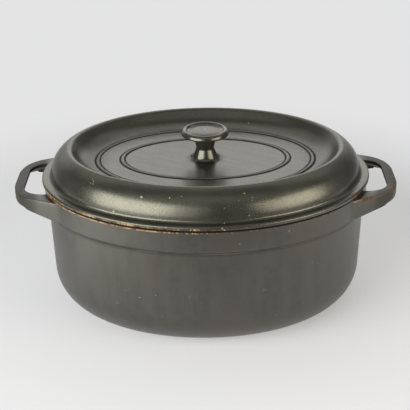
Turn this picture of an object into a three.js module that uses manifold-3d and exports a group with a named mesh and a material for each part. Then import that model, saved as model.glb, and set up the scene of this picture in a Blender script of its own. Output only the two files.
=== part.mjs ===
// An oval cast-iron dutch oven: a pot with two loop handles cast on, a lid that lifts off,
// and a knob that a screw and a washer hold on the lid.
// Millimetres, +Z up. The origin is the middle of the pot's base, and the long side lies along X.

import * as THREE from 'three';
import { mergeVertices } from 'three/addons/utils/BufferGeometryUtils.js';
import Module from 'manifold-3d';

const wasm = await Module();
wasm.setup();

// The lid's plan. Every other oval of the pot and the lid lies a set distance inside this one.
const lidLength = 320;
const lidWidth = 261;

// Pot
const potHeight = 131;
const bandInset = 1.8;
const bandHeight = 22;
const bandStep = 2.1;
const bandBevel = 2.4;
const rimEdge = 0.9;
const wallTaper = 0.04;
const wallThickness = 4.6;
const floorThickness = 5.2;
const baseCornerRadius = 42;

// Loop handles, measured outwards from the pot's band
const handleReach = 27.6;
const handleDrop = 2.6;
const handleEndDepth = 9.4;
const handleRootHalfWidth = 62;
const handleRootFillet = 30;
const handleRootTail = 15;
const handleShoulderHalfWidth = 44.8;
const handleShoulderInset = 10.2;
const handleShoulderRadius = 32;
const handleEndNarrowing = 20.3;
const handleEndRadius = 45;
const handleSlopeStart = 19;
const handleBarWidth = 9.9;
const fingerHoleMargin = 6.8;
const fingerHoleRadius = 19;
const fingerHoleLip = 2.7;
const fingerHoleChamferWidth = 9.4;
const fingerHoleChamferDrop = 8.4;

// Lid
const lidSeatGap = 0.3;
const flangeThickness = 4.4;
const flangeEdgeRadius = 1.6;
const ledgeWidth = 6.2;
const coveRadius = 2.6;
const rollRadius = 28.4;
const rollCentreRise = 5.3;
const rollEndTilt = 24;
const crestRadius = 4.5;
const slopeTilt = 52;
const troughRadius = 22.6;
const panelRise = 17.1;
const lidWall = 4.2;
const skirtDepth = 6;
const skirtWidth = 4;
const skirtClearance = 1.2;
const outerBeadInset = 2.9;
const beadSpacing = 24.1;
const beadWidth = 5.6;
const beadTopWidth = 1.6;
const beadHeight = 0.9;

// Knob, with heights measured from the lid's panel
const knobSeatGap = 0.2;
const knobFootRadius = 17;
const knobFootEdge = 0.3;
const knobFlareRadius = 12.4;
const knobFlareHeight = 1.9;
const knobPedestalRadius = 10.6;
const knobPedestalHeight = 5.6;
const knobWaistRadius = 8.6;
const knobWaistHeight = 10.6;
const knobNeckRadius = 9.7;
const knobNeckHeight = 16.2;
const knobTopRadius = 11.4;
const knobTopHeight = 24.5;
const knobCapRadius = 23;
const knobCapEdgeRise = 1.2;
const knobCapEdgeRadius = 0.9;
const knobCapRise = 4.6;
const knobShoulderInset = 1.4;
const knobShoulderDrop = 0.8;
const knobRimInset = 2.8;
const knobRimWidth = 1.4;
const knobRimRound = 0.3;
const knobDishInset = 3.9;
const knobDishDepth = 1.9;
const knobDishCrown = 0.9;

// Screw and washer
const screwRadius = 3;
const screwLength = 15;
const screwHeadRadius = 5.6;
const screwHeadHeight = 3.2;
const screwHeadEdge = 0.8;
const screwTip = 0.8;
const screwSlotWidth = 1.4;
const screwSlotDepth = 1.5;
const screwClearance = 0.3;
const screwHoleSpare = 2;
const washerRadius = 8;
const washerThickness = 1.2;
const fastenerGap = 0.15;

// Facets
const ovalSegments = 64;
const knobSegments = 40;
const screwSegments = 24;
const stemSteps = 18;
const arcStep = THREE.MathUtils.degToRad(15);
const underArcStep = THREE.MathUtils.degToRad(24);
const cutOverrun = 2;
const mergeDistance = 1e-4;

// Sizes that follow from the ones above
const ovalDifference = (lidLength - lidWidth) / 2;
const bandHalfLength = lidLength / 2 - bandInset;
const bandBottom = potHeight - bandHeight;
const bandFootHalfLength = bandHalfLength - wallTaper * bandHeight;
const flangeBottom = potHeight + lidSeatGap;
const panelTop = flangeBottom + panelRise;
const panelBottom = panelTop - lidWall;
const knobBase = panelTop + knobSeatGap;
const washerBottom = panelBottom - fastenerGap - washerThickness;
const screwSeat = washerBottom - fastenerGap;
const screwHoleRadius = screwRadius + screwClearance;

const enamel = { color: 0x45463f, roughness: 0.42, metalness: 0.15 };
const knobEnamel = { color: 0x4a4a43, roughness: 0.38, metalness: 0.2 };
const steel = { color: 0x8d8f90, roughness: 0.35, metalness: 1 };

// Points along an arc, with the angles in radians from +X towards +Y.
function arcPoints(centreX, centreY, radius, from, to, step = arcStep) {
  const steps = Math.max(2, Math.round(Math.abs(to - from) / step));
  const points = [];
  for (let i = 0; i <= steps; i++) {
    const angle = THREE.MathUtils.lerp(from, to, i / steps);
    points.push(new THREE.Vector2(centreX + radius * Math.cos(angle), centreY + radius * Math.sin(angle)));
  }
  return points;
}

// A corner of an outline, rounded off between the points before and after it. The round uses up to half
// of each side.
function roundedCorner(before, corner, after, radius) {
  const back = before.clone().sub(corner);
  const on = after.clone().sub(corner);
  const shorterSide = Math.min(back.length(), on.length());
  back.normalize();
  on.normalize();
  const halfAngle = Math.acos(back.dot(on)) / 2;
  const tangent = Math.min(radius / Math.tan(halfAngle), shorterSide / 2);
  const round = tangent * Math.tan(halfAngle);
  const middle = back.clone().add(on).normalize();
  const centre = corner.clone().addScaledVector(middle, round / Math.sin(halfAngle));
  const start = corner.clone().addScaledVector(back, tangent).sub(centre).angle();
  const end = corner.clone().addScaledVector(on, tangent).sub(centre).angle();
  let turn = end - start;
  if (turn > Math.PI) turn -= 2 * Math.PI;
  if (turn < -Math.PI) turn += 2 * Math.PI;
  return arcPoints(centre.x, centre.y, round, start, start + turn);
}

// An outline whose half on the +Y side is given, mirrored to the -Y side.
function mirroredOutline(half) {
  const other = half.map((point) => new THREE.Vector2(point.x, -point.y)).reverse();
  return new THREE.Shape([...other, ...half]);
}

function toSolid(geometry) {
  const bare = geometry.clone();
  bare.deleteAttribute('normal');
  bare.deleteAttribute('uv');
  const merged = mergeVertices(bare, mergeDistance);
  const corners = merged.index.array;
  const triangles = [];
  for (let i = 0; i < corners.length; i += 3) {
    const [a, b, c] = corners.slice(i, i + 3);
    if (a !== b && b !== c && c !== a) triangles.push(a, b, c);
  }
  return new wasm.Manifold(new wasm.Mesh({
    numProp: 3,
    vertProperties: Float32Array.from(merged.attributes.position.array),
    triVerts: Uint32Array.from(triangles),
  }));
}

function toGeometry(solid) {
  const mesh = solid.getMesh();
  const geometry = new THREE.BufferGeometry();
  geometry.setAttribute('position', new THREE.BufferAttribute(mesh.vertProperties, 3));
  geometry.setIndex(new THREE.BufferAttribute(mesh.triVerts, 1));
  geometry.computeVertexNormals();
  return geometry;
}

// A profile turned about Z.
function turned(points, segments) {
  return new THREE.LatheGeometry(points, segments).rotateX(Math.PI / 2);
}

// A profile taken round the ovals: its X is the half-length at each height. A ring is narrower than it
// is long by the same amount everywhere, down to the core, where only flat faces are left.
function ovalTurned(points, coreHalfLength) {
  const geometry = turned(points, ovalSegments);
  const position = geometry.attributes.position;
  const coreShare = 1 - ovalDifference / coreHalfLength;
  for (let i = 0; i < position.count; i++) {
    const halfLength = Math.hypot(position.getX(i), position.getY(i));
    const share = halfLength > coreHalfLength ? 1 - ovalDifference / halfLength : coreShare;
    position.setY(i, position.getY(i) * share);
  }
  return geometry;
}

function extruded(shape, low, high) {
  const geometry = new THREE.ExtrudeGeometry(shape, { depth: high - low, bevelEnabled: false });
  return geometry.translate(0, 0, low);
}

function piece(name, geometry, finish) {
  const mesh = new THREE.Mesh(geometry, new THREE.MeshStandardMaterial(finish));
  mesh.name = name;
  return mesh;
}

// Half-length of the pot's outer wall at a height; the wall leans in towards the base.
function wallAt(height) {
  return bandFootHalfLength - bandStep - wallTaper * (bandBottom - height);
}

// The rounded corner between a floor and the leaning wall, a set distance inside the outer wall.
function baseCorner(floorHeight, radius, inset) {
  const lean = Math.atan(wallTaper);
  const endHeight = floorHeight + radius - radius * Math.sin(lean);
  const centre = wallAt(endHeight) - inset - radius * Math.cos(lean);
  return arcPoints(centre, floorHeight + radius, radius, -Math.PI / 2, -lean);
}

function potBody() {
  const corner = baseCorner(0, baseCornerRadius, 0);
  const profile = [
    new THREE.Vector2(0, 0),
    ...corner,
    new THREE.Vector2(wallAt(bandBottom - bandBevel), bandBottom - bandBevel),
    new THREE.Vector2(bandFootHalfLength, bandBottom),
    new THREE.Vector2(bandHalfLength, potHeight - rimEdge),
    new THREE.Vector2(bandHalfLength - rimEdge, potHeight),
    new THREE.Vector2(0, potHeight),
  ];
  return toSolid(ovalTurned(profile, corner[0].x));
}

function potHollow() {
  const corner = baseCorner(floorThickness, baseCornerRadius - wallThickness, wallThickness);
  const mouth = wallAt(potHeight) - wallThickness;
  const profile = [
    new THREE.Vector2(0, floorThickness),
    ...corner,
    new THREE.Vector2(mouth, potHeight - rimEdge),
    new THREE.Vector2(mouth + rimEdge, potHeight),
    new THREE.Vector2(mouth + rimEdge, potHeight + cutOverrun),
    new THREE.Vector2(0, potHeight + cutOverrun),
  ];
  return toSolid(ovalTurned(profile, corner[0].x));
}

// A point on the pot's band, a set distance to the side of the long axis.
function onBand(side) {
  const bandHalfWidth = bandHalfLength - ovalDifference;
  return new THREE.Vector2(bandHalfLength * Math.sqrt(1 - (side / bandHalfWidth) ** 2), side);
}

// The finger hole's outline in a handle that ends at a given X, wider all round by a set amount.
function fingerHoleOutline(end, widening) {
  const halfWidth = handleShoulderHalfWidth - fingerHoleMargin + widening;
  const corner = new THREE.Vector2(end - handleBarWidth + widening, halfWidth);
  const root = new THREE.Vector2(bandHalfLength - halfWidth, halfWidth);
  const middle = new THREE.Vector2(corner.x, 0);
  return mirroredOutline([...roundedCorner(root, corner, middle, fingerHoleRadius + widening).reverse(), root]);
}

// The finger hole: straight under the handle's top, then opening out in a chamfer towards the underside.
function fingerHole(end, top) {
  const narrow = fingerHoleOutline(end, 0);
  const wide = fingerHoleOutline(end, fingerHoleChamferWidth);
  const lip = top - fingerHoleLip;
  const ledge = lip - fingerHoleChamferDrop;
  const bottom = bandBottom - cutOverrun;
  const chamfered = wasm.Manifold.hull([
    ...narrow.getPoints().map((point) => [point.x, point.y, lip]),
    ...wide.getPoints().flatMap((point) => [[point.x, point.y, ledge], [point.x, point.y, bottom]]),
  ]);
  return toSolid(extruded(narrow, ledge, top + cutOverrun)).add(chamfered);
}

function handle() {
  const top = potHeight - handleDrop;
  const end = bandHalfLength + handleReach;
  const tail = onBand(handleRootHalfWidth + handleRootTail).sub(new THREE.Vector2(rimEdge, rimEdge));
  const root = onBand(handleRootHalfWidth);
  const shoulder = new THREE.Vector2(end - handleShoulderInset, handleShoulderHalfWidth);
  const endCorner = new THREE.Vector2(end, handleShoulderHalfWidth - handleEndNarrowing);
  const endMiddle = new THREE.Vector2(end, 0);
  const outline = mirroredOutline([
    ...roundedCorner(shoulder, endCorner, endMiddle, handleEndRadius).reverse(),
    ...roundedCorner(root, shoulder, endCorner, handleShoulderRadius).reverse(),
    ...roundedCorner(tail, root, shoulder, handleRootFillet).reverse(),
    tail,
  ]);
  const underside = new THREE.Shape([
    new THREE.Vector2(bandHalfLength - handleSlopeStart, bandBottom),
    new THREE.Vector2(bandHalfLength - handleSlopeStart, bandBottom - cutOverrun),
    new THREE.Vector2(end + cutOverrun, bandBottom - cutOverrun),
    new THREE.Vector2(end + cutOverrun, top - handleEndDepth),
    new THREE.Vector2(end, top - handleEndDepth),
  ]);
  const cutHalfWidth = handleRootHalfWidth + handleRootTail;
  const slope = extruded(underside, -cutHalfWidth, cutHalfWidth).rotateX(Math.PI / 2);
  return toSolid(extruded(outline, bandBottom, top)).subtract(fingerHole(end, top)).subtract(toSolid(slope));
}

function pot() {
  const rightHandle = handle();
  const leftHandle = toSolid(toGeometry(rightHandle).rotateZ(Math.PI));
  return potBody().add(rightHandle).add(leftHandle).subtract(potHollow());
}

// Where the lid's roll rises from the ledge, and the middle of the roll's arc.
const ledgeTop = flangeBottom + flangeThickness;
const coveTop = ledgeTop + coveRadius;
const rollFoot = lidLength / 2 - ledgeWidth - coveRadius;
const rollStart = Math.asin((coveTop - flangeBottom - rollCentreRise) / rollRadius);
const rollCentreX = rollFoot - rollRadius * Math.cos(rollStart);
const rollCentreZ = flangeBottom + rollCentreRise;

// The lid's line over the roll, down the slope and into the panel, a set depth under the upper side.
function lidLine(depth, from, step) {
  const rollEnd = Math.PI / 2 - THREE.MathUtils.degToRad(rollEndTilt);
  const slope = THREE.MathUtils.degToRad(slopeTilt);
  const crestX = rollCentreX + (rollRadius - crestRadius) * Math.cos(rollEnd);
  const crestZ = rollCentreZ + (rollRadius - crestRadius) * Math.sin(rollEnd);
  const troughZ = panelTop + troughRadius;
  const along = (crestZ - troughZ + (crestRadius + troughRadius) * Math.cos(slope)) / Math.tan(slope);
  const troughX = crestX - along - (crestRadius + troughRadius) * Math.sin(slope);
  const crestRound = Math.max(crestRadius - depth, 0);
  return [
    ...arcPoints(rollCentreX, rollCentreZ, rollRadius - depth, from, rollEnd, step),
    ...arcPoints(crestX, crestZ, crestRound, rollEnd, Math.PI / 2 + slope, step).slice(1),
    ...arcPoints(troughX, troughZ, troughRadius + depth, slope - Math.PI / 2, -Math.PI / 2, step),
  ];
}

function beadPoints(middle) {
  const halfWidth = beadWidth / 2;
  const shoulder = beadTopWidth / 2;
  return [
    new THREE.Vector2(middle + halfWidth, panelTop),
    new THREE.Vector2(middle + shoulder, panelTop + beadHeight),
    new THREE.Vector2(middle - shoulder, panelTop + beadHeight),
    new THREE.Vector2(middle - halfWidth, panelTop),
  ];
}

function lid() {
  const half = lidLength / 2;
  const edge = flangeEdgeRadius;
  const skirtOuter = wallAt(potHeight - skirtDepth) - wallThickness - skirtClearance;
  const skirtInner = skirtOuter - skirtWidth;
  const skirtBottom = flangeBottom - skirtDepth;
  const underStart = Math.acos(Math.min(1, (skirtInner - rollCentreX) / (rollRadius - lidWall)));
  const upperLine = lidLine(0, rollStart, arcStep);
  const outerBead = upperLine.at(-1).x - outerBeadInset;
  const innerBead = outerBead - beadSpacing;
  const profile = [
    new THREE.Vector2(0, panelBottom),
    ...lidLine(lidWall, underStart, underArcStep).reverse(),
    new THREE.Vector2(skirtInner, skirtBottom),
    new THREE.Vector2(skirtOuter, skirtBottom),
    new THREE.Vector2(skirtOuter, flangeBottom),
    ...arcPoints(half - edge, flangeBottom + edge, edge, -Math.PI / 2, 0),
    ...arcPoints(half - edge, ledgeTop - edge, edge, 0, Math.PI / 2),
    ...arcPoints(rollFoot + coveRadius, coveTop, coveRadius, -Math.PI / 2, -Math.PI),
    ...upperLine.slice(1),
    ...beadPoints(outerBead),
    ...beadPoints(innerBead),
    new THREE.Vector2(0, panelTop),
  ];
  const hole = new THREE.CylinderGeometry(screwHoleRadius, screwHoleRadius, lidWall + cutOverrun, screwSegments);
  hole.rotateX(Math.PI / 2).translate(0, 0, panelTop - lidWall / 2);
  return toSolid(ovalTurned(profile, innerBead - beadWidth)).subtract(toSolid(hole));
}

function knobGeometry() {
  const holeTop = screwSeat + screwLength - knobBase + screwHoleSpare;
  const stem = new THREE.SplineCurve([
    new THREE.Vector2(knobFootRadius, knobFootEdge),
    new THREE.Vector2(knobFlareRadius, knobFlareHeight),
    new THREE.Vector2(knobPedestalRadius, knobPedestalHeight),
    new THREE.Vector2(knobWaistRadius, knobWaistHeight),
    new THREE.Vector2(knobNeckRadius, knobNeckHeight),
    new THREE.Vector2(knobTopRadius, knobTopHeight),
  ]).getPoints(stemSteps);
  const edgeHeight = knobTopHeight + knobCapEdgeRise;
  const rimHeight = edgeHeight + knobCapRise;
  const rimRadius = knobCapRadius - knobRimInset;
  const dishFloor = rimHeight - knobDishDepth;
  const profile = [
    new THREE.Vector2(0, holeTop),
    new THREE.Vector2(screwHoleRadius, holeTop),
    new THREE.Vector2(screwHoleRadius, 0),
    new THREE.Vector2(knobFootRadius, 0),
    ...stem,
    new THREE.Vector2(knobCapRadius - knobCapEdgeRadius, edgeHeight - knobCapEdgeRadius),
    new THREE.Vector2(knobCapRadius, edgeHeight),
    new THREE.Vector2(knobCapRadius - knobShoulderInset, rimHeight - knobShoulderDrop),
    new THREE.Vector2(rimRadius, rimHeight),
    new THREE.Vector2(rimRadius - knobRimWidth, rimHeight - knobRimRound),
    new THREE.Vector2(rimRadius - knobDishInset, dishFloor),
    new THREE.Vector2(0, dishFloor + knobDishCrown),
  ];
  return turned(profile, knobSegments).translate(0, 0, knobBase);
}

function screw() {
  const headBottom = screwSeat - screwHeadHeight;
  const profile = [
    new THREE.Vector2(0, headBottom),
    new THREE.Vector2(screwHeadRadius - screwHeadEdge, headBottom),
    new THREE.Vector2(screwHeadRadius, headBottom + screwHeadEdge),
    new THREE.Vector2(screwHeadRadius, screwSeat),
    new THREE.Vector2(screwRadius, screwSeat),
    new THREE.Vector2(screwRadius, screwSeat + screwLength - screwTip),
    new THREE.Vector2(screwRadius - screwTip, screwSeat + screwLength),
    new THREE.Vector2(0, screwSeat + screwLength),
  ];
  const slot = new THREE.BoxGeometry(2 * screwHeadRadius + cutOverrun, screwSlotWidth, 2 * screwSlotDepth);
  slot.translate(0, 0, headBottom);
  return toSolid(turned(profile, screwSegments)).subtract(toSolid(slot));
}

function washerGeometry() {
  const top = washerBottom + washerThickness;
  const profile = [
    new THREE.Vector2(screwHoleRadius, washerBottom),
    new THREE.Vector2(washerRadius, washerBottom),
    new THREE.Vector2(washerRadius, top),
    new THREE.Vector2(screwHoleRadius, top),
    new THREE.Vector2(screwHoleRadius, washerBottom),
  ];
  return turned(profile, screwSegments);
}

const lidAssembly = new THREE.Group();
lidAssembly.add(piece('lid', toGeometry(lid()), enamel));
lidAssembly.add(piece('knob', knobGeometry(), knobEnamel));
lidAssembly.add(piece('knob_screw', toGeometry(screw()), steel));
lidAssembly.add(piece('knob_washer', washerGeometry(), steel));

const dutchOven = new THREE.Group();
dutchOven.add(piece('pot', toGeometry(pot()), enamel));
dutchOven.add(lidAssembly);

export default dutchOven;
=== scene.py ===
# %% [markdown]
# # An oval dutch oven
# The CAD model gives the sizes, the lid's lift and the collision. Its round walls are flat facets, so the pot, the
# lid and the knob are modelled again here as smooth castings in the same place, and they get their worn enamel.
# The screw and the washer under the lid already have the right shape, so they stay and only get a finish.

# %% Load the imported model
import math

import bpy
from mathutils import Matrix, Vector


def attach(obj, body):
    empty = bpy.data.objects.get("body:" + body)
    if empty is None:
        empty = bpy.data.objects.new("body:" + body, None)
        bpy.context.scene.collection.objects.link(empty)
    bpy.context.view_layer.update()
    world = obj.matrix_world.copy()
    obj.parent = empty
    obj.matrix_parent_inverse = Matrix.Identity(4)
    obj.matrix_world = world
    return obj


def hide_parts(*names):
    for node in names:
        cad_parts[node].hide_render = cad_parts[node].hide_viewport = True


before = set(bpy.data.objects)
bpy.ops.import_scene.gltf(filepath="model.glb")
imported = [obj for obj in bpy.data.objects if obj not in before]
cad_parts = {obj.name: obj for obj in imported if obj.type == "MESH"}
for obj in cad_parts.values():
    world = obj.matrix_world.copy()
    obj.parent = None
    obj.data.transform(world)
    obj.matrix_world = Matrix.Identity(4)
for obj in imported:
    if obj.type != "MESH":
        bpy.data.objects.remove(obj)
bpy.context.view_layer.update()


# %% [markdown]
# ## Rings along a section
# Pot and lid are castings with an oval plan, and every oval is as much narrower than it is long as the lid's edge
# is. A spin would only make round shapes. So each shell starts as one circle, which is extruded, moved and scaled
# ring after ring along the section, as one does by hand with E, G and S, with its own scale for length and width.

# %% Points of a section
mm = 0.001
oval_difference = 29.5


def arc(centre_x, centre_z, radius, start, end, steps):
    """Points of a section along an arc, with the angles in degrees."""
    points = []
    for i in range(steps + 1):
        angle = math.radians(start + (end - start) * i / steps)
        points.append((centre_x + radius * math.cos(angle), centre_z + radius * math.sin(angle)))
    return points


def ovals(section):
    """Rings of (half length, half width, height) in millimetres."""
    return [(half_length, half_length - oval_difference, height) for half_length, height in section]


def circles(section):
    return [(radius, radius, height) for radius, height in section]


def between(first, last, count):
    """Rings spread evenly between two rings, for flat faces."""
    shares = [(i + 1) / (count + 1) for i in range(count)]
    return [tuple(a + (b - a) * share for a, b in zip(first, last)) for share in shares]


print("every oval is", 2 * oval_difference, "mm longer than it is wide")

# %% The first ring
oval_corners = 192
round_corners = 96


def start_ring(name, corners, ring, filled):
    """A piece of one ring, left in edit mode with its edge selected."""
    half_length, half_width, height = ring
    bpy.ops.object.select_all(action="DESELECT")
    bpy.ops.mesh.primitive_circle_add(vertices=corners, radius=half_length * mm,
                                      fill_type="TRIFAN" if filled else "NOTHING",
                                      location=(0, 0, height * mm))
    piece = bpy.context.object
    piece.name = piece.data.name = name
    bpy.ops.object.transform_apply(location=True, rotation=False, scale=False)
    bpy.ops.object.mode_set(mode="EDIT")
    bpy.ops.mesh.select_all(action="SELECT")
    bpy.ops.transform.resize(value=(1, half_width / half_length, 1), center_override=(0, 0, 0))
    if filled:
        bpy.ops.mesh.region_to_loop()
    return piece


print("rings have", oval_corners, "or", round_corners, "corners")

# %% Rings that are carried along the section
merge_distance = 0.002 * mm


def carry_ring(rings):
    """Extrudes the selected edge from ring to ring."""
    for before, after in zip(rings, rings[1:]):
        rise = (0, 0, (after[2] - before[2]) * mm)
        bpy.ops.mesh.extrude_edges_move(TRANSFORM_OT_translate={"value": rise})
        scale = (after[0] / before[0], after[1] / before[1], 1)
        bpy.ops.transform.resize(value=scale, center_override=(0, 0, 0))


def close_middle():
    """Draws the last ring together in one point."""
    bpy.ops.mesh.extrude_edges_move()
    bpy.ops.mesh.merge(type="CENTER")


def close_shell(piece, smooth_angle):
    """Merges the seams, turns the faces outwards and shades them smooth."""
    bpy.ops.mesh.select_all(action="SELECT")
    bpy.ops.mesh.remove_doubles(threshold=merge_distance)
    bpy.ops.mesh.normals_make_consistent(inside=False)
    bpy.ops.object.mode_set(mode="OBJECT")
    bpy.ops.object.shade_smooth_by_angle(angle=math.radians(smooth_angle))
    print(piece.name, "has", len(piece.data.polygons), "faces")


print("points closer than", merge_distance, "m become one")

# %% [markdown]
# ## The pot's body
# The pot is one casting with a wall of about five millimetres. Its section runs from the middle of the floor up the
# inside, over the rim, down the raised band and the wall, and round the corner to the middle of the base. The wall
# leans in a little towards the base, so that the casting comes out of its mould.

# %% Pot: wall
pot_height = 131.0
floor_height = 5.2
wall_thickness = 4.6
wall_taper = 0.04
wall_lean = math.degrees(math.atan(wall_taper))
band_bottom = 109.0
wall_at_band = 155.22
corner_radius = 42.0


def wall_at(height):
    """Half length of the wall's outer side at a height."""
    return wall_at_band - wall_taper * (band_bottom - height)


def foot_corner(height, radius, inset, steps):
    """The round corner between floor and wall, from below."""
    end_height = height + radius - radius * math.sin(math.radians(wall_lean))
    centre = wall_at(end_height) - inset - radius * math.cos(math.radians(wall_lean))
    return arc(centre, height + radius, radius, -90, -wall_lean, steps)


inner_corner = foot_corner(floor_height, corner_radius - wall_thickness, wall_thickness, 18)
inner_wall = [(wall_at(z) - wall_thickness, z) for z in (60, 85, 110, 124)]
outer_wall = [(wall_at(z), z) for z in (100, 85, 70, 56)]
outer_corner = foot_corner(0, corner_radius, 0, 20)
print("the wall leans in by", round(wall_lean, 2), "degrees")

# %% Pot: rim and band
band_half_length = 158.2
rim_round = 0.9
band_round = 1.1
band_foot_round = 3.1
band_foot_centre = (154.3, 110.4)

mouth = wall_at(pot_height) - wall_thickness
rim = arc(mouth + rim_round, pot_height - rim_round, rim_round, 180, 90, 4)
rim += arc(band_half_length - band_round, pot_height - band_round, band_round, 90, 0, 4)
band = [(band_half_length - inset, height) for inset, height in ((0.1, 128.0), (0.3, 122.0), (0.55, 116.0))]
band_foot = arc(*band_foot_centre, band_foot_round, 0, -60, 8)
band_crease = [(155.5, 107.25), (155.25, 106.8), (155.12, 106.1), (155.07, 105.0)]
print("the mouth is", round(2 * mouth, 1), "mm long")

# %% Pot: body
section = inner_corner + inner_wall + rim + band + band_foot + band_crease + outer_wall + outer_corner[::-1]
floor_middle = (24.0, 14.0, floor_height)
base_middle = (24.0, 14.0, 0)
rings = ovals(section)
rings = [floor_middle] + between(floor_middle, rings[0], 3) + rings
rings = rings + between(rings[-1], base_middle, 3) + [base_middle]
pot = start_ring("pot_casting", oval_corners, rings[0], filled=True)
carry_ring(rings)
close_middle()
close_shell(pot, smooth_angle=40)

# %% [markdown]
# ## The loop handles
# Both handles are cast on the band: a flat bar that bows out from the wall, with a hole for the fingers. One bar is
# drawn as a strip of plane whose outer edge is extruded and narrowed, its corners are rounded with a vertex bevel,
# and it is extruded down to its thickness. A bisect cuts the sloping underside. That is nearer to the way that a
# pattern maker saws the bar from a board than a bent tube would be, and it keeps the flat top and crisp edges.

# %% Flat boards
close_by = 0.05
corner_steps = 14


def pick(piece, wanted):
    """Selects the vertices whose place, in millimetres, is wanted."""
    bpy.ops.mesh.select_all(action="DESELECT")
    bpy.ops.object.mode_set(mode="OBJECT")
    for vertex in piece.data.vertices:
        vertex.select = wanted(vertex.co / mm)
    bpy.ops.object.mode_set(mode="EDIT")


def start_strip(name, rows, height):
    """A strip of plane between the first two rows, left in edit mode with its far edge selected."""
    (start_x, start_half), (next_x, next_half) = rows[:2]
    bpy.ops.object.select_all(action="DESELECT")
    bpy.ops.mesh.primitive_plane_add(size=1, location=((start_x + next_x) / 2 * mm, 0, height * mm))
    piece = bpy.context.object
    piece.name = piece.data.name = name
    piece.scale = ((next_x - start_x) * mm, 2 * start_half * mm, 1)
    bpy.ops.object.transform_apply(location=True, rotation=False, scale=True)
    bpy.ops.object.mode_set(mode="EDIT")
    bpy.ops.mesh.select_mode(type="VERT")
    pick(piece, lambda place: abs(place.x - next_x) < close_by)
    bpy.ops.transform.resize(value=(1, next_half / start_half, 1), center_override=(0, 0, 0))
    return piece


def board(name, rows, bottom, top, rounds):
    """A flat board, symmetric about X, from rows of (x, half width), with rounded corners at some rows."""
    piece = start_strip(name, rows, top)
    for (x, half), (far_x, far_half) in zip(rows[1:], rows[2:]):
        bpy.ops.mesh.extrude_edges_move(TRANSFORM_OT_translate={"value": ((far_x - x) * mm, 0, 0)})
        bpy.ops.transform.resize(value=(1, far_half / half, 1), center_override=(0, 0, 0))
    bpy.ops.mesh.select_all(action="SELECT")
    bpy.ops.mesh.dissolve_faces()
    for row, reach in rounds:
        pick(piece, lambda place: math.dist((place.x, abs(place.y)), rows[row]) < close_by)
        bpy.ops.mesh.bevel(offset=reach * mm, offset_type="OFFSET", segments=corner_steps, affect="VERTICES")
    bpy.ops.mesh.select_all(action="SELECT")
    bpy.ops.mesh.extrude_region_move(TRANSFORM_OT_translate={"value": (0, 0, (bottom - top) * mm)})
    bpy.ops.mesh.select_all(action="SELECT")
    bpy.ops.mesh.normals_make_consistent(inside=False)
    return piece


print("boards round their corners in", corner_steps, "steps")

# %% One bar with a sloping underside
handle_top = 128.4
handle_end = band_half_length + 27.6
end_thickness = 9.4
slope_root = band_half_length - 19
band_half_width = band_half_length - oval_difference


def on_band(side):
    """X of the band's oval at this distance from its long axis."""
    return band_half_length * math.sqrt(1 - (side / band_half_width) ** 2)


bar_rows = [(on_band(77) - 0.9, 76.1), (on_band(62), 62.0), (handle_end - 10.2, 44.8), (handle_end, 24.5)]
bar_rounds = [(1, 4.6), (2, 11.2), (3, 10.8)]
handle = board("right_handle", bar_rows, band_bottom, handle_top, bar_rounds)
bpy.ops.mesh.select_all(action="SELECT")
slope_start = Vector((slope_root, 0, band_bottom)) * mm
slope_end = Vector((handle_end, 0, handle_top - end_thickness)) * mm
along = slope_end - slope_start
bpy.ops.mesh.bisect(plane_co=slope_start, plane_no=(-along.z, 0, along.x), use_fill=True, clear_inner=True)
bpy.ops.object.mode_set(mode="OBJECT")
print("the bar has", len(handle.data.polygons), "faces")

# %% The finger hole


def join_or_cut(piece, tool, operation):
    """Joins a tool to a piece or cuts it out of it, and removes the tool."""
    bpy.ops.object.select_all(action="DESELECT")
    bpy.context.view_layer.objects.active = piece
    piece.select_set(True)
    change = piece.modifiers.new(operation.lower(), "BOOLEAN")
    change.operation = operation
    change.solver = "EXACT"
    change.object = tool
    bpy.ops.object.modifier_apply(modifier=change.name)
    bpy.data.objects.remove(tool)


bar_depth = 9.9
hole_half = 38.0
hole_root = band_half_length - 38
hole_corner = 19.0
overrun = 2

hole_rows = [(hole_root, hole_half), (handle_end - bar_depth, hole_half)]
finger_hole = board("finger_hole", hole_rows, band_bottom - overrun, handle_top + overrun, [(1, hole_corner)])
bpy.ops.object.mode_set(mode="OBJECT")
join_or_cut(handle, finger_hole, "DIFFERENCE")
print("the bar with its hole has", len(handle.data.polygons), "faces")

# %% [markdown]
# The edges of the bar are broken by a small bevel, because enamel can't cover a knife edge. Under its lip the finger
# hole opens out in a chamfer: a wider board from below, whose top face is extruded up and narrowed, cuts it.

# %% Round the edges
edge_round = 0.9

bpy.ops.object.mode_set(mode="EDIT")
bpy.ops.mesh.select_mode(type="EDGE")
bpy.ops.mesh.select_all(action="DESELECT")
bpy.ops.mesh.edges_select_sharp(sharpness=math.radians(50))
bpy.ops.mesh.bevel(offset=edge_round * mm, offset_type="OFFSET", segments=3, affect="EDGES")
bpy.ops.object.mode_set(mode="OBJECT")
print("the rounded bar has", len(handle.data.polygons), "faces")

# %% Chamfer the finger hole
hole_lip = handle_top - 2.7
chamfer_width = 9.4
chamfer_drop = 8.4
chamfer_corner = 23.5
above_lip = 0.15
inside_lip = 0.3

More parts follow.
